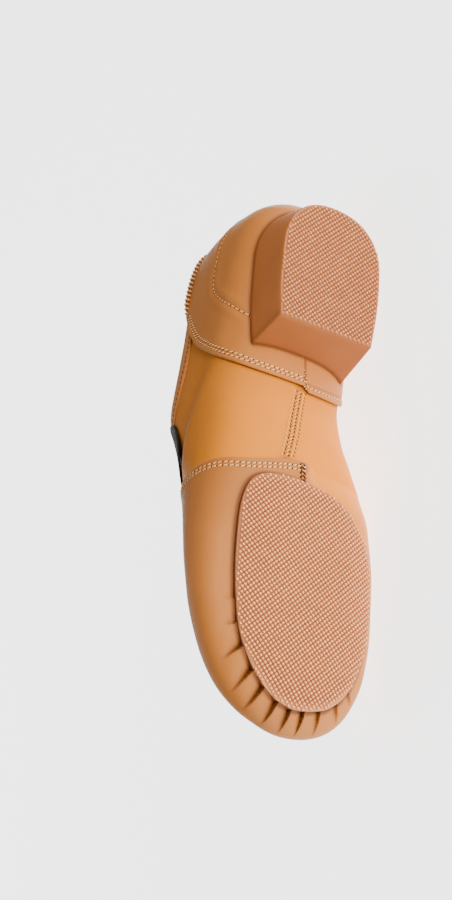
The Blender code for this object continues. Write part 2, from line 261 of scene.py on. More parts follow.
def keepValues(piece, name, values):
    data = piece.data.attributes.new(name, "FLOAT", "POINT").data
    data.foreach_set("value", np.asarray(values, np.float32))


def paintRows(piece, row, low, high, index):
    corners = np.empty(len(piece.data.loops), int)
    piece.data.loops.foreach_get("vertex_index", corners)
    faceRow = row[corners].reshape(-1, 4).min(axis=1)
    painted = np.where((faceRow >= low) & (faceRow < high), index, 0)
    piece.data.polygons.foreach_set("material_index", painted.astype(np.int32))


def closeUp(piece, caps=False):
    pick(piece)
    bpy.ops.object.mode_set(mode="EDIT")
    bpy.ops.mesh.select_all(action="SELECT")
    bpy.ops.mesh.remove_doubles(threshold=1e-6)
    if caps:
        bpy.ops.mesh.select_all(action="DESELECT")
        bpy.ops.mesh.select_non_manifold(extend=False)
        bpy.ops.mesh.fill_holes(sides=0)
    bpy.ops.mesh.select_all(action="SELECT")
    bpy.ops.mesh.normals_make_consistent(inside=False)
    bpy.ops.object.mode_set(mode="OBJECT")


def settle(piece, materials, nodes=(), sharp=40):
    # into the row frame, on the shoe's one body
    pick(piece)
    bpy.ops.object.shade_smooth_by_angle(angle=math.radians(sharp))
    piece.data.transform(lying)
    for material in materials:
        piece.data.materials.append(material)
    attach(piece, "root")
    if nodes:
        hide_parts(*nodes)
    print("piece", piece.name, len(piece.data.polygons), "faces")


# Panels cut from the last
rimSearch = {"bearings": 1440, "steps": 260, "nearest": 0.002, "farthest": math.pi * 0.985, "halvings": 30}
rolledEdge = {"rows": 7, "shadedRows": 4}


def towardsRim(pole, rim, share):
    # the spots at a share of the way from the pole to the rim
    reach = np.arccos(np.clip(rim @ pole, -1, 1))[:, None]
    return unit((np.sin((1 - share) * reach) * pole + np.sin(share * reach) * rim) / np.sin(reach))


def arcs(pole, rim, shares):
    return towardsRim(pole, rim, np.asarray(shares)[:, None, None])


def rimOf(pole, inside, count):
    # the edge of a panel, sought on bearings from its pole, with its places spaced evenly
    u, v = tangents(pole)
    bearing = np.arange(rimSearch["bearings"]) * 2 * math.pi / rimSearch["bearings"]
    way = np.cos(bearing)[:, None] * u + np.sin(bearing)[:, None] * v

    def spots(reach):
        return np.cos(reach)[..., None] * pole + np.sin(reach)[..., None] * way

    reach = np.linspace(rimSearch["nearest"], rimSearch["farthest"], rimSearch["steps"])
    first = np.argmin(inside(lastPoints(spots(reach[:, None]))), axis=0)
    low, high = reach[np.maximum(first - 1, 0)], reach[first]
    for _ in range(rimSearch["halvings"]):
        middle = (low + high) / 2
        good = inside(lastPoints(spots(middle)))
        low, high = np.where(good, middle, low), np.where(good, high, middle)
    rim = spots(low)
    closed = np.vstack((rim, rim[:1]))
    along = lengthAlong(lastPoints(closed))
    return unit(valuesAt(np.linspace(0, along[-1], count, endpoint=False), along, closed))


def insetRim(pole, rim, distance, step=0.02):
    # the rim drawn in by a distance in mm along the surface
    a, b = lastPoints(arcs(pole, rim, [1 - step, 1.0]))
    pace = np.linalg.norm(b - a, axis=1, keepdims=True) / step
    return towardsRim(pole, rim, 1 - distance / pace)


def panel(name, shape, inside, relief=None):
    # a layer between two offsets of the last, with a rounded edge; relief gives its lift and its painted
    # shade, and edgeShade paints shade on the lower rows of its rounded edge
    pole = shape["pole"]
    rim = rimOf(pole, inside, shape["around"])
    inner, outer = shape["faces"]
    near = 1 - shape.get("edgeShare", 0.0)
    shares = near * np.linspace(0, 1, shape["outerLoops"] + 1) ** shape.get("crowd", 1.0)
    shares = np.concatenate((shares, np.linspace(near, 1, shape.get("edgeLoops", 0) + 1)[1:]))
    d = arcs(pole, rim, shares)
    points, normals = lastPoints(d), lastNormals(d)
    segments = np.linalg.norm(np.diff(points, axis=0), axis=2)
    fromEdge = np.concatenate((np.cumsum(segments[::-1], axis=0)[::-1], np.zeros((1, len(rim)))))
    lift, paintedShade = np.zeros(fromEdge.shape), np.zeros(fromEdge.shape)
    if relief:
        lift, paintedShade = relief(points, points + outer * normals, fromEdge)
    skin = points + (outer + lift)[..., None] * normals
    backing = onSurface(arcs(pole, rim, np.linspace(0, 1, shape["innerLoops"] + 1)), inner)[0]
    outward = points[-1] - points[-2]
    outward = unit(outward - (outward * normals[-1]).sum(axis=1, keepdims=True) * normals[-1])
    half = (outer + lift[-1] - inner)[:, None] / 2
    turn = np.radians(np.linspace(-90, 90, rolledEdge["rows"] + 2))[1:-1, None, None]
    edge = points[-1] + (inner + half + half * np.sin(turn)) * normals[-1] + half * np.cos(turn) * outward
    loops = np.concatenate((backing, edge, skin[::-1]))
    piece, row, column = loft(name, loops)
    shade = np.zeros(loops.shape[:2])
    shade[-len(skin):] = paintedShade[::-1]
    shade[len(backing) : len(backing) + rolledEdge["shadedRows"]] = shape.get("edgeShade", 0)
    keepValues(piece, "paintedShade", shade[row, column])
    if "blend" in shape:
        share = np.zeros(loops.shape[:2])
        share[-len(skin):] = shape["blend"](points)[::-1]
        keepValues(piece, "blend", share[row, column])
    if shape.get("lined"):
        paintRows(piece, row, 0, len(backing), 1)
    closeUp(piece)
    return piece, rim


# Edges of the panels, seen from the side (x, z) in mm
edges = {
    "topline": [(-40, 84), (4, 77), (36, 71), (68, 67), (89, 70), (102, 80), (112, 100)],
    "vamp": [(132.5, -20), (132.5, 6), (135, 22), (138, 40), (143, 60), (149, 80)],
    "vampOuter": {"ahead": 5.5, "y": (2, 34)},  # the edge lies farther ahead on the outer side
    "heelPanel": [
        (92.2, -20), (92, 8), (91.7, 13.5), (90.8, 17), (88.6, 21.5), (84.4, 29.2), (78.4, 39.5), (71, 50.6),
        (61, 60), (49, 70), (36, 82),
    ],
    "gore": [(98, 96), (100.5, 78), (106, 65), (117, 57.5), (132, 54.5), (143, 58), (154, 70)],
    "goreGap": -0.3,
    "instepMiddle": (124, 86),
    "throatMargin": 8,
}
# the heel panel's inner half ends farther ahead, as a flap, and its join with the outer half runs along y
flap = {
    "y": -1.0, "ahead": 2.4, "step": 1.5,
    "joinX": (70, 80), "joinBelow": 22, "joinWidth": 0.55, "joinGroove": 0.45, "joinShade": 0.9,
}
toplinePath = smoothPath(edges["topline"])
vampPath = smoothPath(edges["vamp"])
heelPath = smoothPath(edges["heelPanel"])


def toplineAt(x):
    return np.interp(x, toplinePath[:, 0], toplinePath[:, 1], right=farOff)


def belowTopline(p):
    return p[..., 2] < toplineAt(p[..., 0])


def onInstep(p, margin):
    edge, middle = np.array(edges["gore"], float), np.array(edges["instepMiddle"], float)
    path = smoothPath(edge + unit(middle - edge) * margin)
    return p[..., 2] > np.interp(p[..., 0], path[:, 0], path[:, 1], farOff, farOff)


def aheadOfVampEdge(p):
    outer = edges["vampOuter"]
    edge = np.interp(p[..., 2], vampPath[:, 1], vampPath[:, 0])
    return p[..., 0] - (edge + outer["ahead"] * smoothStep(*outer["y"], p[..., 1]))


def aheadOfHeelEdge(p):
    edge = np.interp(p[..., 2], heelPath[:, 1], heelPath[:, 0])
    return p[..., 0] - (edge + flap["ahead"] * smoothStep(0, flap["step"], flap["y"] - p[..., 1]))


def inVamp(p):
    return (aheadOfVampEdge(p) > 0) & ~onInstep(p, edges["goreGap"])


def inHeelPanel(p):
    return (aheadOfHeelEdge(p) < 0) & belowTopline(p)


def inGore(p):
    return onInstep(p, 0) & belowTopline(p)


def inUpper(p):
    return belowTopline(p) & ~onInstep(p, edges["throatMargin"])


# Materials
def nodeGroup(name, inputs, outputs):
    group = bpy.data.node_groups.new(name, "ShaderNodeTree")
    for label, kind, value in inputs:
        socket = group.interface.new_socket(label, in_out="INPUT", socket_type=kind)
        socket.default_value = value
    for label, kind in outputs:
        group.interface.new_socket(label, in_out="OUTPUT", socket_type=kind)
    return group, group.nodes.new("NodeGroupInput").outputs, group.nodes.new("NodeGroupOutput").inputs


def addNode(tree, kind, settings=None, **values):
    # i0, i1 and so on name an input by its number
    node = tree.nodes.new(kind)
    for key, value in (settings or {}).items():
        setattr(node, key, value)
    for key, value in values.items():
        socket = node.inputs[int(key[1:])] if key[0] == "i" and key[1:].isdigit() else node.inputs[key]
        if isinstance(value, bpy.types.NodeSocket):
            tree.links.new(value, socket)
        else:
            socket.default_value = value
    return node


def mixColours(tree, factor, a, b):
    return addNode(tree, "ShaderNodeMix", {"data_type": "RGBA"}, i0=factor, i6=a, i7=b).outputs[2]


def maths(tree, operation, a, b, clamp=False):
    settings = {"operation": operation, "use_clamp": clamp}
    return addNode(tree, "ShaderNodeMath", settings, i0=a, i1=b).outputs[0]


def ramp(tree, value, low, high, a=0.0, b=1.0):
    node = addNode(tree, "ShaderNodeMapRange", {"clamp": True}, i0=value, i1=low, i2=high, i3=a, i4=b)
    return node.outputs[0]


def noise(tree, place, scale, detail=3.0, roughness=0.5):
    values = {"Vector": place, "Scale": scale, "Detail": detail, "Roughness": roughness}
    return addNode(tree, "ShaderNodeTexNoise", **values).outputs[0]


def objectPlace(tree):
    return addNode(tree, "ShaderNodeTexCoord").outputs["Object"]


def kept(tree, name):
    # a value that the mesh keeps at its points
    return addNode(tree, "ShaderNodeAttribute", {"attribute_name": name}).outputs["Fac"]


# mottled colour: soft random patches of tone, and painted shade in folds, seams and where parts meet, kept as
# a value at the mesh's points
mottleLook = {"detail": 4.0, "roughness": 0.55, "patch": (0.35, 0.7), "paintedShade": 0.95}
mottleAndShade, into, out = nodeGroup(
    "mottleAndShade",
    [
        ("Colour", "NodeSocketColor", (0.5, 0.5, 0.5, 1)),
        ("Dark", "NodeSocketColor", (0.2, 0.2, 0.2, 1)),
        ("Patches", "NodeSocketFloat", 0.3),
        ("Size", "NodeSocketFloat", 40.0),
    ],
    [("Colour", "NodeSocketColor"), ("Patch", "NodeSocketFloat")],
)
broad = noise(mottleAndShade, objectPlace(mottleAndShade), into["Size"], mottleLook["detail"], mottleLook["roughness"])
patch = ramp(mottleAndShade, broad, *mottleLook["patch"])
paintedShade = maths(mottleAndShade, "MULTIPLY", kept(mottleAndShade, "paintedShade"), mottleLook["paintedShade"], True)
tinted = mixColours(mottleAndShade, maths(mottleAndShade, "MULTIPLY", patch, into["Patches"]), into["Colour"], into["Dark"])
mottleAndShade.links.new(mixColours(mottleAndShade, paintedShade, tinted, into["Dark"]), out["Colour"])
mottleAndShade.links.new(patch, out["Patch"])

# fine leather grain: pebbles and short wrinkles
grainLook = {"pebbleEdge": 0.18, "pebble": 0.6, "fineScale": 1.6, "fine": 0.5}
grain, into, out = nodeGroup("grain", [("Size", "NodeSocketFloat", 900.0)], [("Height", "NodeSocketFloat")])
place = objectPlace(grain)
toEdge = {"feature": "DISTANCE_TO_EDGE"}
cells = addNode(grain, "ShaderNodeTexVoronoi", toEdge, Vector=place, Scale=into["Size"]).outputs["Distance"]
pebble = ramp(grain, cells, 0.0, grainLook["pebbleEdge"])
fine = noise(grain, place, maths(grain, "MULTIPLY", into["Size"], grainLook["fineScale"]))
pebble = maths(grain, "MULTIPLY", pebble, grainLook["pebble"])
fine = maths(grain, "MULTIPLY", fine, grainLook["fine"])
grain.links.new(maths(grain, "ADD", pebble, fine), out["Height"])


def newMaterial(name, roughness, **sockets):
    material = bpy.data.materials.new(name)
    material.use_nodes = True
    shader = material.node_tree.nodes["Principled BSDF"]
    shader.inputs["Roughness"].default_value = roughness
    for key, value in sockets.items():
        shader.inputs[key.replace("_", " ")].default_value = value
    return material, material.node_tree, shader


def plain(name, look, **sockets):
    if "specular" in look:
        sockets["Specular_IOR_Level"] = look["specular"]
    return newMaterial(name, look["rough"], Base_Color=(*look["colour"], 1), **sockets)[0]


def useGroup(tree, group, **values):
    node = tree.nodes.new("ShaderNodeGroup")
    node.node_tree = group
    for key, value in values.items():
        node.inputs[key].default_value = value
    return node.outputs


# the mottled colour, with painted shade where the mesh keeps a value for it
def toneAndShadeColour(tree, look):
    colours = {"Colour": (*look["colour"], 1), "Dark": (*look["dark"], 1)}
    return useGroup(tree, mottleAndShade, **colours, Patches=look["patches"], Size=look["patchSize"])


def addBump(tree, shader, height, look):
    depth = look["bumpDepth"] * mm
    bump = addNode(tree, "ShaderNodeBump", Strength=look["bump"], Distance=depth, Height=height)
    tree.links.new(bump.outputs[0], shader.inputs["Normal"])


def leather(name, look):
    material, tree, shader = newMaterial(name, look["rough"][0], Specular_IOR_Level=look["specular"])
    paintedLightAndTone = toneAndShadeColour(tree, look)
    colour = mixColours(tree, kept(tree, "blend"), paintedLightAndTone["Colour"], (*look["blendTo"], 1))
    tree.links.new(colour, shader.inputs["Base Color"])
    tree.links.new(ramp(tree, paintedLightAndTone["Patch"], 0.0, 1.0, *look["rough"]), shader.inputs["Roughness"])
    addBump(tree, shader, useGroup(tree, grain, Size=look["grain"])["Height"], look)
    return material


def rubber(name, look):
    material, tree, shader = newMaterial(name, look["rough"], Specular_IOR_Level=look["specular"])
    colour = toneAndShadeColour(tree, look)["Colour"]
    if "light" in look:
        # painted highlight: the studs' tips and the tread's rounded corner are mixed toward the light colour
        colour = mixColours(tree, kept(tree, "tip"), colour, (*look["light"], 1))
    tree.links.new(colour, shader.inputs["Base Color"])
    return material


tanLook = {
    "colour": (0.425, 0.152, 0.032), "dark": (0.075, 0.024, 0.008), "patches": 0.08, "patchSize": 38,
    "grain": 1100, "bump": 0.25, "bumpDepth": 0.10, "rough": (0.40, 0.50), "specular": 0.12,
}
archLook = {**tanLook, "colour": (0.67, 0.217, 0.010), "bump": 0.2, "rough": (0.38, 0.46), "specular": 0.02}
tanLeather = leather("tanLeather", {**tanLook, "blendTo": archLook["colour"]})
archLeather = leather("archLeather", {**archLook, "blendTo": tanLook["colour"]})

soleLook = {
    "colour": (0.26, 0.078, 0.024), "light": (0.89, 0.38, 0.15), "dark": (0.10, 0.028, 0.009),
    "patches": 0.15, "patchSize": 55, "rough": 0.65, "specular": 0.25,
}
soleRubber = rubber("soleRubber", soleLook)
wallLook = {
    "colour": (0.37, 0.122, 0.028), "dark": (0.11, 0.028, 0.006),
    "patches": 0.15, "patchSize": 45, "rough": 0.6, "specular": 0.15,
}
heelWall = rubber("heelWall", wallLook)

elasticLook = {"colour": (0.012, 0.008, 0.007), "rough": 0.85, "ribs": 240.0, "bump": 0.8, "bumpDepth": 0.35}
darkElastic = plain("darkElastic", elasticLook)
tree, shader = darkElastic.node_tree, darkElastic.node_tree.nodes["Principled BSDF"]
place = objectPlace(tree)
ribs = addNode(tree, "ShaderNodeTexWave", {"bands_direction": "X"}, Vector=place, Scale=elasticLook["ribs"])
addBump(tree, shader, ribs.outputs["Fac"], elasticLook)

lining = plain("lining", {"colour": (0.48, 0.26, 0.12), "rough": 0.85})
insoleFabric = plain("insoleFabric", {"colour": (0.42, 0.25, 0.12), "rough": 0.9})
creamThread = plain("creamThread", {"colour": (0.82, 0.45, 0.175), "rough": 0.7, "specular": 0.2})
tanThread = plain("tanThread", {"colour": (0.72, 0.33, 0.09), "rough": 0.7, "specular": 0.2})
# dark thread, also used for dark marks of painted shade in needle holes and stitch gaps
darkThreadAndShade = plain("darkThreadAndShade", {"colour": (0.05, 0.016, 0.006), "rough": 0.7, "specular": 0.1})
bindingLeather = plain("bindingLeather", {"colour": (0.46, 0.17, 0.04), "rough": 0.55, "specular": 0.15})
print("materials done")


# Outlines of the treads, in plan
treadShape = {
    "outer": [
        (141, 6), (141.4, 16), (143.2, 24), (148.5, 29.5), (160, 32.5), (178, 33), (196, 31.5), (213, 27.5),
        (226, 19.5), (234, 10.5), (237.2, 3), (238.2, -3),
    ],
    "inner": [
        (142, -3), (143.8, -12), (149, -22), (160, -32), (178, -36.5), (196, -36.5), (213, -33.5),
        (226, -27.5), (234, -19), (237.2, -10),
    ],
    "middle": (186, -2), "points": 420, "soften": 3, "base": 0.5, "round": 0.35, "inset": 1.3,
    "offsets": (1.0, 3.4), "shares": (0.0, 0.25, 0.5, 0.7, 0.85, 0.94),
    "rim": 0.6, "tips": (0.75, 1.0),  # of the studs: bare rim, and how strong the painted highlight on their tips is
    "toe": (215, 232), "edgeTip": (0.15, 0.3), "wallShade": (1, 0.6), "cornerShade": 0.25, "floorShade": 0.6,
}
heelSide = [
    (11.2, 0), (11.55, 5.6), (12.5, 9.8), (14.1, 13.6), (16.2, 16.8), (19.8, 20.4), (24.5, 23.2), (30, 24.9),
    (37, 25.6), (54, 25.6), (70, 24),
]
heelBlock = {
    "outer": heelSide, "inner": [(x, -y) for x, y in heelSide[1:]],
    "middle": (44, 0), "points": 400, "soften": 1, "base": 0.5, "round": 0.6,
    "rise": 26, "widen": 1.06, "backSlant": 4, "frontSlant": 11, "wallLoops": 10,
    "seatOffset": 0.9, "halvings": 30,
    "seatShares": (0.0, 0.3, 0.6, 0.85, 0.95), "floorShares": (0.97, 0.9, 0.75, 0.5, 0.25, 0.0),
    "rim": 0.75, "tips": (0.42, 0.66),
    "breast": (0.93, 0.98), "breastShade": 0.24, "seatShade": 0.9, "floorShade": 0.6, "cornerTip": 0.2,
}


def closedOutline(shape):
    path = np.vstack((smoothPath(shape["outer"]), smoothPath(shape["inner"][::-1])))
    path = evenly(path, shape["points"], closed=True)
    reach = shape["soften"]
    return sum(np.roll(path, k, axis=0) for k in range(-reach, reach + 1)) / (2 * reach + 1)


def solePlate(x, y, offset, leastDown=0.4):
    # height of the last's underside, moved down by an offset square to it
    d = bottomSpot(x, y)
    return lastPoints(d)[..., 2] - offset / np.maximum(np.abs(lastNormals(d)[..., 2]), leastDown)


def planNormals(outline):
    along = np.roll(outline, -1, axis=0) - np.roll(outline, 1, axis=0)
    out = unit(np.stack((along[:, 1], -along[:, 0]), axis=1))
    return out if ((outline - outline.mean(axis=0)) * out).sum() > 0 else -out


def inPlan(x, y, outline):
    inside = np.zeros(x.shape, bool)
    for (ax, ay), (bx, by) in zip(outline, np.roll(outline, -1, axis=0)):
        edgeX = (bx - ax) * (y - ay) / (by - ay + 1e-12) + ax
        inside ^= ((ay > y) != (by > y)) & (x < edgeX)
    return inside


treadOutline = closedOutline(treadShape)
treadPlan = np.column_stack((treadOutline, np.zeros(len(treadOutline))))
treadOnLast = lastPoints(bottomSpot(treadOutline[:, 0], treadOutline[:, 1]))

# the heel's wall leans out from its tread to where it meets the heel panel
heelOutline = closedOutline(heelBlock)
heelShare = (heelOutline[:, :1] - heelOutline[:, 0].min()) / np.ptp(heelOutline[:, 0])
slant = heelShare * (heelBlock["backSlant"] + heelBlock["frontSlant"]) - heelBlock["backSlant"]
heelLean = heelOutline * (1, heelBlock["widen"]) + np.hstack((slant, 0 * slant)) - heelOutline
low, high = np.zeros(len(heelOutline)), np.ones(len(heelOutline))
for _ in range(heelBlock["halvings"]):
    h = (low + high) / 2
    wall = heelOutline + heelLean * h[:, None]
    under = h * heelBlock["rise"] < solePlate(wall[:, 0], wall[:, 1], heelBlock["seatOffset"])
    low, high = np.where(under, h, low), np.where(under, high, h)
heelMeets = low
seatOutline = heelOutline + heelLean * heelMeets[:, None]
seatPlan = np.column_stack((seatOutline, np.zeros(len(seatOutline))))

# Leather
seam = {
    "rows": (1.6, 3.3), "groove": 0.16, "grooveWidth": 0.5, "shade": 0.55, "shadeWidth": 0.42,
    "fold": 0.3, "foldFrom": 0.4, "foldTo": 1.9,
}


def seamRelief(fromEdge, where):
    # a turned edge and the channels that its two stitch rows pull in, with painted shade along the rows
    lift = seam["fold"] * fadeOut(seam["foldFrom"], seam["foldTo"], fromEdge)
    shade = 0
    for row in seam["rows"]:
        lift = lift - seam["groove"] * gauss(fromEdge, row, seam["grooveWidth"])
        shade = shade + seam["shade"] * gauss(fromEdge, row, seam["shadeWidth"])
    return lift * where, shade * where


# spot on the tread's outline, length, strength and slant of each fold
pleats = {
    "folds": [
        ((200, 31.2), 5, 0.25, 0.0), ((209, 28.9), 6, 0.4, 0.1), ((218, 24.9), 9, 0.9, 0.25),
        ((226.5, 19), 11, 1.0, 0.3), ((232.5, 12.5), 12, 1.0, 0.2), ((236.5, 5), 12, 0.9, 0.1),
        ((238.1, -1.5), 12, 0.8, 0.0), ((237.4, -8.5), 11, 0.8, -0.1), ((235, -16), 10, 0.6, -0.15),
        ((230.5, -23), 8, 0.5, -0.2), ((224, -29), 7, 0.4, -0.2),
    ],
    "height": 1.4, "sink": 1.8, "ceiling": (9.5, 13.5), "run": 7, "fadePower": 1.2, "swellPower": 2.2,
    "line": 0.5, "wedge": 1.6, "steep": 5, "shades": ((0.65, 1), (0.35, 2.2)), "shadeGain": 1.3,
    "contact": 0.9, "contactWidth": 1.1, "under": 2.5, "from": 136, "below": 24,
}


def pleatRelief(p, q, s, along):
    # gathers in the leather round the toe end of the tread: each starts high and sinks into the next fold,
    # with painted shade in each fold
    # q is the distance from the tread's edge, s the length along it
    rows = np.arange(len(p))
    folds = np.array([along[nearestOn(treadPlan, [(*fold[0], 0)])[0]] for fold in pleats["folds"]])
    lengths, strengths, slants = np.array([fold[1:] for fold in pleats["folds"]], float).T
    lines = folds[None] + slants[None] * q[:, None]
    span = np.clip((s[:, None] >= lines).sum(axis=1) - 1, 0, len(folds) - 2)
    after, before = s - lines[rows, span], lines[rows, span + 1] - s
    u = np.clip(after / (after + before), 0, 1)
    length = lengths[span] * (1 - u) + lengths[span + 1] * u
    strength = strengths[span] * (1 - u) + strengths[span + 1] * u
    fade = np.clip(1 - q / length, 0, 1) ** pleats["fadePower"] * fadeOut(*pleats["ceiling"], p[:, 2])
    first, final = folds[0], folds[-1]
    ends = smoothStep(first - pleats["run"], first, s) * fadeOut(final, final + pleats["run"], s)
    swell = np.where(after < 0, 0, np.where(before < 0, 1, 1 - u ** pleats["swellPower"]))
    lift = fade * ends * strength * ((pleats["height"] + pleats["sink"]) * swell - pleats["sink"])
    wide = pleats["line"] + pleats["wedge"] * fade
    toLast = np.where(after > 0, pleats["steep"] * after, -after)
    toNext = np.where(before > 0, before, -pleats["steep"] * before)
    toFold = np.minimum(toLast, toNext)
    shade = sum(most * gauss(toFold, 0, spread * wide) for most, spread in pleats["shades"])
    return lift, shade * fade**0.5 * ends * np.minimum(1, pleats["shadeGain"] * strength)


archSideShade = {"z": (10, 46), "most": 0.8}
skive = {"y": (-3, 3), "z": (46, 55), "length": 15, "drop": 1.35, "blend": 34, "seamReach": 8}
shadeBesideSeams = {"vamp": 0.12, "vampReach": 45, "arch": 0.14, "archReach": 16}  # painted shade, darker beside the seams


def archSideShading(p):
    # painted shade: the stretch leather of the arch takes the tan's darker colour up the sides
    return archSideShade["most"] * smoothStep(*archSideShade["z"], p[..., 2])


def innerOf(p):
    # the inner side below the gore has no seam: the leather runs on from the arch
    return fadeOut(*skive["y"], p[..., 1]) * fadeOut(*skive["z"], p[..., 2])


def vampBlend(p):
    return innerOf(p) * fadeOut(0, skive["blend"], aheadOfVampEdge(p)) * (1 - archSideShading(p))


def skiveDrop(p):
    return skive["drop"] * innerOf(p) * fadeOut(0, skive["length"], aheadOfVampEdge(p))


def vampRelief(points, skin, fromEdge):
    ahead, outer = aheadOfVampEdge(points), 1 - innerOf(points)
    lift, shade = seamRelief(fromEdge, np.where(ahead < skive["seamReach"], outer, 1))
    lift = lift - skiveDrop(points)
    shade = shade + shadeBesideSeams["vamp"] * fadeOut(0, shadeBesideSeams["vampReach"], ahead) * outer
    near = (points[..., 0] > pleats["from"]) & (points[..., 2] < pleats["below"])
    p = points[near]
    index = nearestOn(treadOnLast, p)
    along = lengthAlong(treadOnLast)
    way = unit(np.roll(treadOnLast, -1, axis=0) - np.roll(treadOnLast, 1, axis=0))[index]
    away = p - treadOnLast[index]
    onward = (away * way).sum(axis=1)
    q = np.sqrt(np.maximum((away**2).sum(axis=1) - onward**2, 0))
    under = inPlan(p[:, 0], p[:, 1], treadOutline)
    gathers, folds = pleatRelief(p, np.where(under, 0, q), along[index] + onward, along)
    # painted shadow along the tread's edge
    contact = pleats["contact"] * gauss(q, 0, pleats["contactWidth"])
    lift[near] += gathers * np.where(under, fadeOut(0, pleats["under"], q), 1)
    shade[near] = np.maximum(np.maximum(shade[near], folds), contact)
    return lift, shade


# the stiffener inside the heel shows as a sewn line (x, z) on both sides
counter = {
    "line": [
        (68, 19.4), (61, 27), (53.5, 36.5), (48.5, 41.5), (42, 44), (28, 46), (14, 47), (5, 47.5),
        (1.5, 47.8), (0.85, 47.9),
    ],
    "stations": 120, "pitch": 2.6, "length": 1.9, "thick": 0.6, "sunk": 0.05,
    "groove": 0.3, "grooveWidth": 0.8, "beside": 0.35, "besideAt": 2.6, "besideWidth": 1.8, "z": (19, 26),
    "shade": 0.45, "shadeWidth": 0.5,
}
counterPath = evenly(smoothPath(counter["line"]), counter["stations"])
hollow = {"x": 74, "xWidth": 8, "z": 26, "zWidth": 5, "y": (5, 20), "depth": 1.1}
atSeat = {"below": 27, "behind": 86, "width": 1.0, "groove": 0.3, "shade": 0.95}
atCollar = {"bare": 2, "fade": 4, "edge": 0.4, "at": 2.2, "width": 0.9, "shade": 0.35}


def heelRelief(points, skin, fromEdge):
    x, y, z = points[..., 0], points[..., 1], points[..., 2]
    front = smoothStep(0, atCollar["fade"], toplineAt(x) - z - atCollar["bare"])
    onFront = (z[-1] < toplineAt(x[-1]) - atCollar["edge"])[None, :]
    lift, shade = seamRelief(fromEdge, np.where(onFront, front, 0))
    collar = np.where(onFront, 0, gauss(fromEdge, atCollar["at"], atCollar["width"]) * atCollar["shade"])
    join = gauss(y, flap["y"], flap["joinWidth"]) * smoothStep(*flap["joinX"], x) * (z < flap["joinBelow"])
    toLine = (x[..., None] - counterPath[:, 0]) ** 2 + (z[..., None] - counterPath[:, 1]) ** 2
    toLine = np.sqrt(np.min(toLine, axis=-1))
    pulled = counter["beside"] * gauss(toLine, counter["besideAt"], counter["besideWidth"])
    pulled = pulled - counter["groove"] * gauss(toLine, 0, counter["grooveWidth"])
    dip = hollow["depth"] * gauss(x, hollow["x"], hollow["xWidth"]) * gauss(z, hollow["z"], hollow["zWidth"])
    dip = dip * smoothStep(*hollow["y"], np.abs(y))
    meets = np.zeros(x.shape)
    near = (z < atSeat["below"]) & (x < atSeat["behind"])
    plan = skin[near] * (1, 1, 0)
    toSeat = np.linalg.norm(plan - seatPlan[nearestOn(seatPlan, plan)], axis=1)
    meets[near] = gauss(toSeat, 0, atSeat["width"])
    lift = lift + pulled * smoothStep(*counter["z"], z) - dip
    lift = lift - flap["joinGroove"] * join - atSeat["groove"] * meets
    # painted shade along the seam rows, under the collar, in the flap's join, on the counter's line and where
    # the panel meets the heel block
    line = counter["shade"] * gauss(toLine, 0, counter["shadeWidth"])
    return lift, np.maximum.reduce((shade + collar, flap["joinShade"] * join, line, atSeat["shade"] * meets))


# the seam along the arch: its y runs from end to end, with three columns of stitches beside it
archSeam = {
    "x": (94, 131), "y": (1.0, 11.5), "stations": 60, "columns": ((-2.3, 28), (0.0, -28), (2.3, 28)),
    "pitch": 2.15, "length": 2.0, "thick": 0.8, "sunk": 0.05,
    "dotsBeside": 1.1, "dotsSunk": 0.1, "dotsJitter": 0.2, "dotLength": 1.3, "dotThick": 0.75,
    "band": 0.4, "bandWidth": 2.9, "bandGroove": 0.15, "bandBelow": 30,
    "bandFrom": (86, 92), "bandTo": (134, 140),
}
archFold = {
    "from": (76, 92), "to": (122, 140), "x": 88, "z": 45, "rise": 0.33,
    "width": 6.5, "depth": 1.2, "shade": 0.25, "swellBelow": 12, "swellWidth": 7, "swell": 0.6,
}
underVamp = {"x": (150, 160), "drop": 0.9}


def upperRelief(points, skin, fromEdge):
    x, y, z = points[..., 0], points[..., 1], points[..., 2]
    seamY = np.interp(x, archSeam["x"], archSeam["y"])
    # painted shade in a band along the arch's seam and in the fold's trough, and painted shadow ahead of the
    # heel panel's edge
    band = gauss(y, seamY, archSeam["bandWidth"]) * (z < archSeam["bandBelow"])
    band = band * smoothStep(*archSeam["bandFrom"], x) * fadeOut(*archSeam["bandTo"], x)
    arch = np.where(y > 0, smoothStep(*archFold["from"], x) * fadeOut(*archFold["to"], x), 0)
    trough = archFold["z"] + archFold["rise"] * (x - archFold["x"])
    fold = gauss(z, trough, archFold["width"]) * arch
    swell = gauss(z, trough - archFold["swellBelow"], archFold["swellWidth"]) * arch
    hidden = smoothStep(*underVamp["x"], x)
    lift = archFold["swell"] * swell - archFold["depth"] * fold
    lift = lift - underVamp["drop"] * hidden - archSeam["bandGroove"] * band
    beside = shadeBesideSeams["arch"] * fadeOut(0, shadeBesideSeams["archReach"], aheadOfHeelEdge(points))
    return lift, np.maximum(archFold["shade"] * fold + beside, archSeam["band"] * band)


upperShape = {
    "faces": (-1.2, 0.0), "pole": direction(186, -90), "around": 340, "outerLoops": 150, "innerLoops": 70,
    "lined": True, "blend": archSideShading,
}
upper, _ = panel("upperLeather", upperShape, inUpper, upperRelief)
settle(upper, [archLeather, lining], ["upper"])

vampShape = {
    "faces": (-0.5, 1.3), "pole": np.array([-1.0, 0, 0]), "around": 380, "outerLoops": 185, "innerLoops": 24,
    "edgeShare": 0.06, "edgeLoops": 26, "crowd": 1.3, "edgeShade": 0.5, "blend": vampBlend,
}
vamp, vampRim = panel("vampLeather", vampShape, inVamp, vampRelief)
settle(vamp, [tanLeather], ["vamp"])

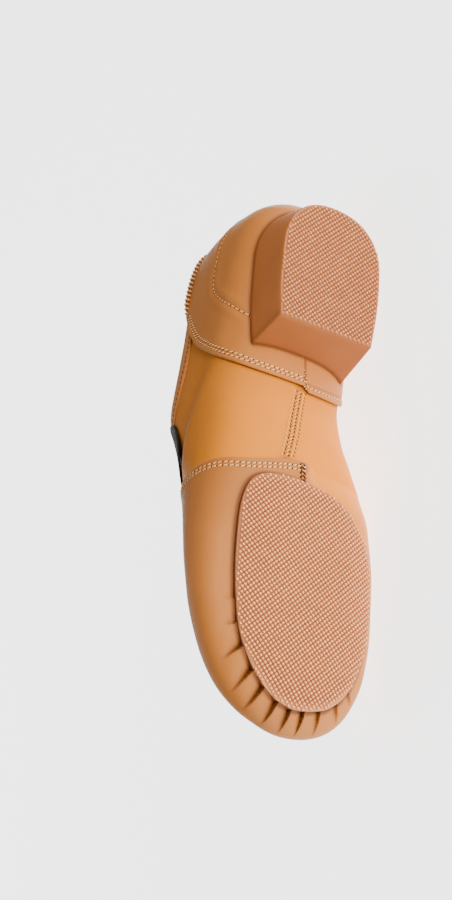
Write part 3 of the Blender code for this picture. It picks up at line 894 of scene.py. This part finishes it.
heelShape = {
    "faces": (0.3, 1.6), "pole": direction(24, -90), "around": 360, "outerLoops": 110, "innerLoops": 30,
    "edgeShare": 0.09, "edgeLoops": 24, "edgeShade": 0.95,
}
heelPanel, heelRim = panel("heelPanel", heelShape, inHeelPanel, heelRelief)
settle(heelPanel, [tanLeather], ["heel_panel"])

goreShape = {
    "faces": (0.3, 1.3), "pole": direction(122, 90), "around": 240, "outerLoops": 60, "innerLoops": 20,
}
gore, _ = panel("goreElastic", goreShape, inGore)
settle(gore, [darkElastic], ["gore"])
print("leather done")


# Treads
studs = {
    "pitch": 1.68, "turn": 45, "base": 0.82, "top": 0.44, "height": 0.55, "sunk": 0.15,
    "sides": 8, "power": 2.8, "slopeStep": 0.5, "sharp": 62,
}


def template(kind, **settings):
    # points and faces of a primitive, to be shaped and copied
    bpy.ops.object.select_all(action="DESELECT")
    getattr(bpy.ops.mesh, kind)(**settings)
    shape = bpy.context.object
    points = np.array([v.co for v in shape.data.vertices])
    faces = sorted(list(f.vertices) for f in shape.data.polygons)
    bpy.data.objects.remove(shape)
    return points, faces


def scatter(name, points, faces, origins, axes):
    # copies of one small shape, each with its own origin and three axes, joined in one mesh
    verts = (np.einsum("ij,kjl->kil", points, axes) + origins[:, None, :]).reshape(-1, 3) * mm
    copies = [[v + k * len(points) for v in f] for k in range(len(origins)) for f in faces]
    data = bpy.data.meshes.new(name)
    data.from_pydata(verts.tolist(), [], copies)
    piece = bpy.data.objects.new(name, data)
    bpy.context.scene.collection.objects.link(piece)
    return piece


def knurlPlaces(shape, outline):
    # a square grid, turned, inside the outline's bare rim
    a, pitch = math.radians(studs["turn"]), studs["pitch"]
    low, high = outline.min(axis=0), outline.max(axis=0)
    reach = int(np.linalg.norm(high - low) / pitch) + 2
    i, j = (k.ravel() * pitch for k in np.meshgrid(np.arange(-reach, reach), np.arange(-reach, reach)))
    middle = (low + high) / 2
    x = middle[0] + i * math.cos(a) - j * math.sin(a)
    y = middle[1] + i * math.sin(a) + j * math.cos(a)
    inner = outline - planNormals(outline) * shape["rim"]
    within = inPlan(x, y, inner)
    return x[within], y[within]


def addStuds(name, shape, outline, bottom):
    x, y = knurlPlaces(shape, outline)
    step, a = studs["slopeStep"], math.radians(studs["turn"])
    slopeX = (bottom(x + step, y) - bottom(x - step, y)) / (2 * step)
    slopeY = (bottom(x, y + step) - bottom(x, y - step)) / (2 * step)
    downward = unit(np.column_stack((slopeX, slopeY, -np.ones(len(x)))))
    first = np.tile((math.cos(a), math.sin(a), 0.0), (len(x), 1))
    first = unit(first - (first * downward).sum(axis=1, keepdims=True) * downward)
    axes = np.stack((first, np.cross(downward, first), downward), axis=1)
    cone = {"vertices": studs["sides"], "radius1": 1, "radius2": 1, "depth": 1, "end_fill_type": "NGON"}
    points, faces = template("primitive_cone_add", **cone)
    angle = np.arctan2(points[:, 1], points[:, 0])
    power = studs["power"]
    squircle = (np.abs(np.cos(angle)) ** power + np.abs(np.sin(angle)) ** power) ** (-1 / power)
    tip = points[:, 2] > 0
    radius = np.where(tip, studs["top"], studs["base"]) * squircle
    level = np.where(tip, studs["height"], -studs["sunk"])
    points = np.column_stack((radius * np.cos(angle), radius * np.sin(angle), level))
    piece = scatter(name, points, faces, np.column_stack((x, y, bottom(x, y))), axes)
    # each stud's tip gets a painted highlight of random strength
    paintedLightAndTone = np.repeat(rng.uniform(*shape["tips"], len(x)), len(points))
    keepValues(piece, "tip", np.tile(tip.astype(float), len(x)) * paintedLightAndTone)
    return piece


def joinTo(piece, other, materials):
    # both wear the materials first, because a join without them forgets which face has which
    for part in (piece, other):
        for material in materials:
            part.data.materials.append(material)
    pick(piece)
    other.select_set(True)
    bpy.ops.object.join()


def raised(plan, height):
    # plan places with their heights
    return np.column_stack((plan, height(plan[:, 0], plan[:, 1])))


def treadBottom(x, y):
    return np.maximum(treadShape["base"], solePlate(x, y, treadShape["offsets"][1] - studs["height"]))


def treadTop(x, y):
    return solePlate(x, y, treadShape["offsets"][0])


# the forefoot tread: roof, wall, rounded corner and the floor between its studs
middle = np.array(treadShape["middle"], float)
out, corner = planNormals(treadOutline), treadShape["round"]
loops = [raised(middle + (treadOutline - middle) * s, treadTop) for s in (*treadShape["shares"], 1.0)]
wallMiddle = (loops[-1][:, 2] + raised(treadOutline, treadBottom)[:, 2] + corner) / 2
loops.append(np.column_stack((treadOutline, wallMiddle)))
wallEnd = len(loops)
for a in np.radians((0, 30, 60, 90)):
    plan = treadOutline - out * corner * (1 - math.cos(a))
    loops.append(raised(plan, treadBottom) + (0, 0, corner * (1 - math.sin(a))))
inner = treadOutline - out * corner * treadShape["inset"]
loops.append(raised(inner, treadBottom))
cornerEnd = len(loops)
loops += [raised(middle + (inner - middle) * s, treadBottom) for s in treadShape["shares"][::-1]]
loops = np.array(loops)
tread, row, column = loft("forefootTread", loops)
# painted highlight on the rounded corner, stronger toward the toe; painted shade on the wall, the corner and
# the floor between the studs
toeEnd = smoothStep(*treadShape["toe"], loops[row, column, 0])
edgeTip = treadShape["edgeTip"][0] + treadShape["edgeTip"][1] * toeEnd
keepValues(tread, "tip", np.where((row > wallEnd) & (row < cornerEnd), edgeTip, 0.0))
wallShade = treadShape["wallShade"][0] - treadShape["wallShade"][1] * toeEnd
shade = np.where(row < wallEnd, wallShade, treadShape["cornerShade"])
keepValues(tread, "paintedShade", np.where(row >= cornerEnd, treadShape["floorShade"], shade))
closeUp(tread)
joinTo(tread, addStuds("studs", treadShape, treadOutline, treadBottom), [soleRubber])
settle(tread, [], ["forefoot_tread"], studs["sharp"])


def heelSeat(x, y):
    return solePlate(x, y, heelBlock["seatOffset"])


def heelBottom(x, y):
    return np.full(x.shape, heelBlock["base"])


# the heel: seat, leaning wall, rounded corner and floor
middle = np.array(heelBlock["middle"], float)
out, corner = planNormals(heelOutline), heelBlock["round"]
loops = [raised(middle + (seatOutline - middle) * s, heelSeat) for s in heelBlock["seatShares"]]
seatEnd = len(loops)
foot = heelBlock["base"] + corner
for s in np.linspace(1, 0, heelBlock["wallLoops"]):
    level = foot + s * (heelMeets * heelBlock["rise"] - heelBlock["base"] - corner)
    loops.append(np.column_stack((heelOutline + heelLean * (level / heelBlock["rise"])[:, None], level)))
wallEnd = len(loops)
for a in np.radians((30, 60, 90)):
    plan = heelOutline - out * corner * (1 - math.cos(a))
    loops.append(raised(plan, heelBottom) + (0, 0, corner * (1 - math.sin(a))))
cornerEnd = len(loops)
inner = heelOutline - out * corner
loops += [raised(middle + (inner - middle) * s, heelBottom) for s in heelBlock["floorShares"]]
heel, row, column = loft("blockHeel", np.array(loops))
# painted shade on the seat, the breast and the floor between the studs; painted highlight on the rounded
# corner
onBreast = heelBlock["breastShade"] * smoothStep(*heelBlock["breast"], heelShare[column, 0])
shade = np.where(row <= seatEnd, heelBlock["seatShade"], onBreast)
keepValues(heel, "paintedShade", np.where(row >= cornerEnd, heelBlock["floorShade"], shade))
keepValues(heel, "tip", np.where((row >= wallEnd) & (row < cornerEnd), heelBlock["cornerTip"], 0.0))
paintRows(heel, row, seatEnd - 1, wallEnd, 1)
closeUp(heel)
joinTo(heel, addStuds("heelStuds", heelBlock, heelOutline, heelBottom), [soleRubber, heelWall])
settle(heel, [], ["heel"], studs["sharp"])
print("treads done")

insoleShape = {
    "outer": [
        (9, 9), (14, 16), (26, 21.5), (60, 23.5), (100, 27), (130, 32), (165, 36), (192, 34), (212, 26),
        (226, 14.5), (233, 4), (236, -3),
    ],
    "inner": [
        (9, -9), (14, -16), (26, -21.5), (60, -22.5), (100, -19), (130, -26), (165, -33), (192, -33.5),
        (212, -30), (226, -24), (233, -17), (236, -11),
    ],
    "ceiling": [(-40, 32), (70, 32), (105, 26), (140, 16), (260, 14)],
    "faces": (-3.5, -1.5), "pole": direction(140, -90), "around": 200, "outerLoops": 40, "innerLoops": 40,
}


def inInsole(p):
    outer, inner, top = (smoothPath(insoleShape[k]) for k in ("outer", "inner", "ceiling"))
    x, y, z = p[..., 0], p[..., 1], p[..., 2]
    inOuter = y < np.interp(x, outer[:, 0], outer[:, 1], -farOff, -farOff)
    inInner = y > np.interp(x, inner[:, 0], inner[:, 1], farOff, farOff)
    return inOuter & inInner & (z < np.interp(x, top[:, 0], top[:, 1]))


insole, _ = panel("insoleSock", insoleShape, inInsole)
settle(insole, [insoleFabric], ["insole"])
print("insole done")


# Stitches
thread = {
    "pitch": 2.4, "length": 1.95, "thick": 0.72, "slant": 16, "raise": 0.04, "jitter": 0.05, "sway": 3,
    "lookAhead": 0.3, "sag": 0.5, "sharp": 80, "holeLength": 0.7, "holeThick": 0.5,
}


def sewn(path, normals, pitch, slant=0.0, jitter=thread["jitter"]):
    # places along a path: origins, and axes along each stitch, across it and out of the surface
    along = lengthAlong(path)
    count = max(2, int(along[-1] / pitch))
    at = (np.arange(count) + 0.5) * along[-1] / count
    at = at + rng.uniform(-jitter, jitter, count) * pitch
    out = unit(valuesAt(at, along, normals))
    ahead, behind = (valuesAt(at + step, along, path) for step in (thread["lookAhead"], -thread["lookAhead"]))
    way = unit(ahead - behind)
    way = unit(way - (way * out).sum(axis=1, keepdims=True) * out)
    angle = np.radians(slant + rng.normal(0, thread["sway"], count))[:, None]
    first = np.cos(angle) * way + np.sin(angle) * np.cross(out, way)
    return valuesAt(at, along, path), np.stack((first, np.cross(out, first), out), axis=1)


def stitchPiece(name, rows, length, thick, material):
    points, faces = template("primitive_uv_sphere_add", segments=8, ring_count=5, radius=1)
    run, around = points[:, 2], points[:, :2]
    points = np.column_stack((run * thick / 2 + np.sign(run) * (length - thick) / 2, around * thick / 2))
    points[:, 2] -= thread["sag"] * thick * (points[:, 0] / (length / 2)) ** 2
    piece = scatter(name, points, faces, *(np.concatenate(values) for values in zip(*rows)))
    settle(piece, [material], sharp=thread["sharp"])


def holesOf(rows):
    return [((origins[1:] + origins[:-1]) / 2, axes[1:]) for origins, axes in rows]


def partOf(rim, keep):
    # the longest unbroken run of a closed rim
    flags = np.concatenate((keep, keep))
    best, start = (0, 0), None
    for k, flag in enumerate(flags):
        if flag and start is None:
            start = k
        if not flag:
            if start is not None and k - start > best[1] - best[0]:
                best = (start, k)
            start = None
    if start is not None and len(flags) - start > best[1] - best[0]:
        best = (start, min(len(flags), start + len(keep)))
    return rim[np.arange(*best) % len(keep)]


def seamRow(shape, rim, distance, keep):
    d = partOf(insetRim(shape["pole"], rim, distance), keep)
    return sewn(*onSurface(d, shape["faces"][1] + thread["raise"]), thread["pitch"], thread["slant"])


atVampRim, atHeelRim = lastPoints(vampRim), lastPoints(heelRim)
vampSewing = {"innerMost": 0.1}  # the rows end where the inner side's seam is gone
outerRim = innerOf(atVampRim) < vampSewing["innerMost"]
rows = [seamRow(vampShape, vampRim, distance, outerRim) for distance in seam["rows"]]
holes = holesOf(rows)
stitchPiece("vampStitches", rows, thread["length"], thread["thick"], creamThread)

heelSewing = {"belowCollar": 2.5, "besideFlap": 1}  # past the flap's join only the first row goes on
belowCollar = atHeelRim[:, 2] < toplineAt(atHeelRim[:, 0]) - heelSewing["belowCollar"]
outerHalf = atHeelRim[:, 1] > flap["y"] + heelSewing["besideFlap"]
rows = []
for distance in seam["rows"]:
    keep = belowCollar & ((distance == seam["rows"][0]) | outerHalf)
    rows.append(seamRow(heelShape, heelRim, distance, keep))
holes += holesOf(rows)
stitchPiece("heelStitches", rows, thread["length"], thread["thick"], creamThread)

rows = []
for spotOn in (outerSpot, innerSpot):
    d = spotOn(counterPath[:, 0], counterPath[:, 1])
    rows.append(sewn(*onSurface(d, heelShape["faces"][1] - counter["sunk"]), counter["pitch"]))
holes += holesOf(rows)
stitchPiece("counterStitches", rows, counter["length"], counter["thick"], creamThread)
# dark marks between the stitches: painted shade in the needle holes
stitchPiece("needleHoleShade", holes, thread["holeLength"], thread["holeThick"], darkThreadAndShade)


def edgeFrame(d):
    # points along an upper edge, with the ways out of the surface, along the edge and down from it
    points, normals = onSurface(d, 0)
    way = unit(np.gradient(points, axis=0))
    downhill = unit(np.cross(way, normals))
    return points, normals, way, downhill * -np.sign(downhill[:, 2:])


# the rolled collar round the heel and the thread whipped over it
whip = {
    "edge": 0.5, "ends": (-2, 9), "radius": 1.35, "endRadius": 0.6, "out": 1.75, "down": 0.4, "around": 12,
    "shade": 0.8, "pitch": 2.5, "thick": 0.95, "raise": 0.12, "reach": (-110, 130), "slant": 0.7,
}
onCollar = atHeelRim[:, 2] > toplineAt(atHeelRim[:, 0]) - whip["edge"]
points, normals, way, downhill = edgeFrame(partOf(heelRim, onCollar))
along = lengthAlong(points)
fullness = smoothStep(*whip["ends"], np.minimum(along, along[-1] - along))[:, None]
centres = points + whip["out"] * fullness * normals + whip["down"] * downhill
ring = np.radians(np.arange(whip["around"]) * 360 / whip["around"])[None, :, None]
radius = whip["radius"] * (whip["endRadius"] + (1 - whip["endRadius"]) * fullness[:, None])
loops = centres[:, None] + radius * (np.cos(ring) * normals[:, None] - np.sin(ring) * downhill[:, None])
collarRoll, row, column = loft("collarRoll", loops)
keepValues(collarRoll, "paintedShade", np.full(len(row), whip["shade"]))
closeUp(collarRoll, caps=True)
settle(collarRoll, [tanLeather])
ball, faces = template("primitive_uv_sphere_add", segments=8, ring_count=8, radius=1)
low, high = np.radians(whip["reach"])
turn = (low + high) / 2 + (high - low) / 2 * ball[:, 2]
swing = whip["radius"] + whip["raise"] + whip["thick"] / 2 * ball[:, 0]
sideways = whip["thick"] / 2 * ball[:, 1] + whip["slant"] * ball[:, 2]
bend = np.column_stack((swing * np.cos(turn), sideways, swing * np.sin(turn)))
along = lengthAlong(centres)
at = np.arange(whip["pitch"], along[-1] - whip["pitch"], whip["pitch"])
axes = np.stack([unit(valuesAt(at, along, v)) for v in (normals, way, -downhill)], axis=1)
collarStitches = scatter("collarStitches", bend, faces, valuesAt(at, along, centres), axes)
settle(collarStitches, [creamThread], sharp=thread["sharp"])

# the arch's seam, and the crossed stitches where it meets the heel panel's flap
rows, dots = [], []
x, y = (np.linspace(*archSeam[k], archSeam["stations"]) for k in ("x", "y"))
for side, slant in archSeam["columns"]:
    rows.append(sewn(*onSurface(bottomSpot(x, y + side), -archSeam["sunk"]), archSeam["pitch"], slant))
    path, normals = onSurface(bottomSpot(x, y + side - archSeam["dotsBeside"]), -archSeam["dotsSunk"])
    dots.append(sewn(path, normals, archSeam["pitch"], slant, archSeam["dotsJitter"]))
flapCross = {"x": (83, 94), "stations": 20, "pitch": 2.4, "slant": 42, "sunk": 0.1}
x = np.linspace(*flapCross["x"], flapCross["stations"])
path, normals = onSurface(bottomSpot(x, flap["y"]), heelShape["faces"][1] - flapCross["sunk"])
rows.append(sewn(path, normals, flapCross["pitch"], flapCross["slant"]))
dots.append(sewn(path, normals, flapCross["pitch"], -flapCross["slant"]))
stitchPiece("archStitches", rows, archSeam["length"], archSeam["thick"], tanThread)

# the dark crossed stitches on the vamp's edge
vampCross = {
    "x": (132.2, 143.5), "y": (4.4, 3.4), "stations": 20, "pitch": 1.9, "slant": 40,
    "length": 2.2, "thick": 1.0, "apart": 0.8, "raise": 0.15,
}
x, y = (np.linspace(*vampCross[k], vampCross["stations"]) for k in ("x", "y"))
path, normals = onSurface(bottomSpot(x, y), vampShape["faces"][1] + vampCross["raise"])
crossRows = []
for way in (1, -1):
    beside = way * vampCross["apart"] * np.cross(normals, unit(np.gradient(path, axis=0)))
    crossRows.append(sewn(path + beside, normals, vampCross["pitch"], way * vampCross["slant"]))

# two faint rows where the vamp runs out into the arch
faint = {
    "path": [(136.6, 2.2), (139.3, -1.5), (143.2, -5.8)], "stations": 20, "shifts": (0, 1.5), "lean": 0.5,
    "pitch": 2.0, "length": 1.1, "thick": 0.5,
}
plan = evenly(smoothPath(faint["path"]), faint["stations"])
faintRows = []
for shift in faint["shifts"]:
    d = bottomSpot(plan[:, 0] - shift, plan[:, 1] - shift * faint["lean"])
    offset = vampShape["faces"][1] - skiveDrop(lastPoints(d))
    faintRows.append(sewn(*onSurface(d, offset[:, None]), faint["pitch"]))
stitchPiece("faintStitches", faintRows, faint["length"], faint["thick"], tanThread)
# dark dots beside the arch's stitch columns: painted shade in the gaps; with them the flap's second crossing
# direction in dark thread
stitchPiece("archDots", dots, archSeam["dotLength"], archSeam["dotThick"], darkThreadAndShade)
stitchPiece("vampCrossStitches", crossRows, vampCross["length"], vampCross["thick"], darkThreadAndShade)
print("stitches done")

# Binding along the bare part of the topline: (out of the surface, down from the edge) round its section
binding = {
    "x": (45, 99.5), "stations": 80, "taper": 14, "thin": 0.1, "tapered": -1,
    "profile": [
        (-0.4, 8.9), (0.35, 8.8), (0.65, 8.2), (0.85, 6.0), (0.9, 3.0), (0.85, 1.0), (0.55, 0.1),
        (0.05, -0.45), (-0.6, -0.7), (-1.25, -0.45), (-1.62, 0.1), (-1.75, 1.0), (-1.75, 5.4), (-1.62, 6.1),
        (-1.25, 6.3),
    ],
    "stitchAt": 7.4, "stitchOut": 0.75, "pitch": 2.4, "length": 1.9, "thick": 0.75,
}
profile = np.array(binding["profile"])
x = np.linspace(*binding["x"], binding["stations"])
taper = binding["thin"] + (1 - binding["thin"]) * smoothStep(0, binding["taper"], x - x[0])
deep = profile[:, 1] * np.where(profile[:, 0] < binding["tapered"], taper[:, None], 1)
rows = []
for name, spotOn in (("outerBinding", outerSpot), ("innerBinding", innerSpot)):
    points, normals, way, downhill = edgeFrame(spotOn(x, toplineAt(x)))
    loops = points[:, None] + profile[None, :, :1] * normals[:, None] + deep[..., None] * downhill[:, None]
    piece, row, column = loft(name, loops)
    closeUp(piece, caps=True)
    settle(piece, [bindingLeather])
    path = points + binding["stitchAt"] * downhill + binding["stitchOut"] * normals
    rows.append(sewn(path, normals, binding["pitch"]))
stitchPiece("bindingStitches", rows, binding["length"], binding["thick"], darkThreadAndShade)
print("binding done")

# Camera, at the photo's angle to the shoe
view = {
    "towards": (0.385, 0.48, -0.788),
    "roll": -6,
    "pixelsPerMm": 2.36,
    "target": (123, 0, 12),
    "targetPixel": (301, 451),
    "image": (452, 900),
    "distance": 1.0,
    "sensor": 36,
}
turned = lying.to_3x3()
towards = (turned @ Vector(view["towards"])).normalized()
toe = turned @ Vector((1, 0, 0))
down = (toe - towards * toe.dot(towards)).normalized()
camUp = -(Matrix.Rotation(math.radians(view["roll"]), 3, -towards) @ down)
right = (-towards).cross(camUp)
viewHeight = view["image"][1] / view["pixelsPerMm"] * mm
offX, offY = ((p - s / 2) / view["pixelsPerMm"] * mm for p, s in zip(view["targetPixel"], view["image"]))
eye = lying @ (Vector(view["target"]) * mm) + towards * view["distance"] - right * offX + camUp * offY
cameraData = bpy.data.cameras.new("camera")
cameraData.sensor_width = view["sensor"]
cameraData.lens = view["sensor"] * view["distance"] / viewHeight
camera = bpy.data.objects.new("camera", cameraData)
camera.matrix_world = Matrix.Translation(eye) @ Matrix((right, camUp, towards)).transposed().to_4x4()
bpy.context.scene.collection.objects.link(camera)
bpy.context.scene.camera = camera

# Floor and light
floorLook = {"side": 8, "colour": (0.9, 0.9, 0.9), "rough": 0.9, "glow": (1, 1, 1, 1), "glowStrength": 3.0}
bpy.ops.mesh.primitive_plane_add(size=floorLook["side"])
floor = bpy.context.object
floor.name = "floor"
glow = {"Emission_Color": floorLook["glow"], "Emission_Strength": floorLook["glowStrength"]}
floor.data.materials.append(plain("paleFloor", floorLook, **glow))

# each lamp aims at a height over the origin
warm, white = (1, 0.83, 0.58), (1, 1, 1)
lamps = {
    "facingSole": {"place": (0.25, -1.3, 0.14), "aim": 0.03, "size": 0.6, "power": 24, "colour": warm},
    "behind": {"place": (-0.15, 0.95, 0.75), "aim": 0.04, "size": 0.8, "power": 7, "colour": white},
    "overhead": {"place": (0.3, 0.2, 1.2), "aim": 0.03, "size": 1.0, "power": 3, "colour": white},
}
for name, lamp in lamps.items():
    data = bpy.data.lights.new(name, "AREA")
    data.size, data.energy, data.color = lamp["size"], lamp["power"], lamp["colour"]
    light = bpy.data.objects.new(name, data)
    light.location = lamp["place"]
    aim = Vector((0, 0, lamp["aim"])) - Vector(lamp["place"])
    light.rotation_euler = aim.to_track_quat("-Z", "Y").to_euler()
    bpy.context.scene.collection.objects.link(light)
skyLook = {"colour": (1, 1, 1, 1), "strength": 0.26}
sky = bpy.data.worlds.new("sky")
sky.use_nodes = True
background = sky.node_tree.nodes["Background"].inputs
background["Color"].default_value = skyLook["colour"]
background["Strength"].default_value = skyLook["strength"]
bpy.context.scene.world = sky
print("stage done")
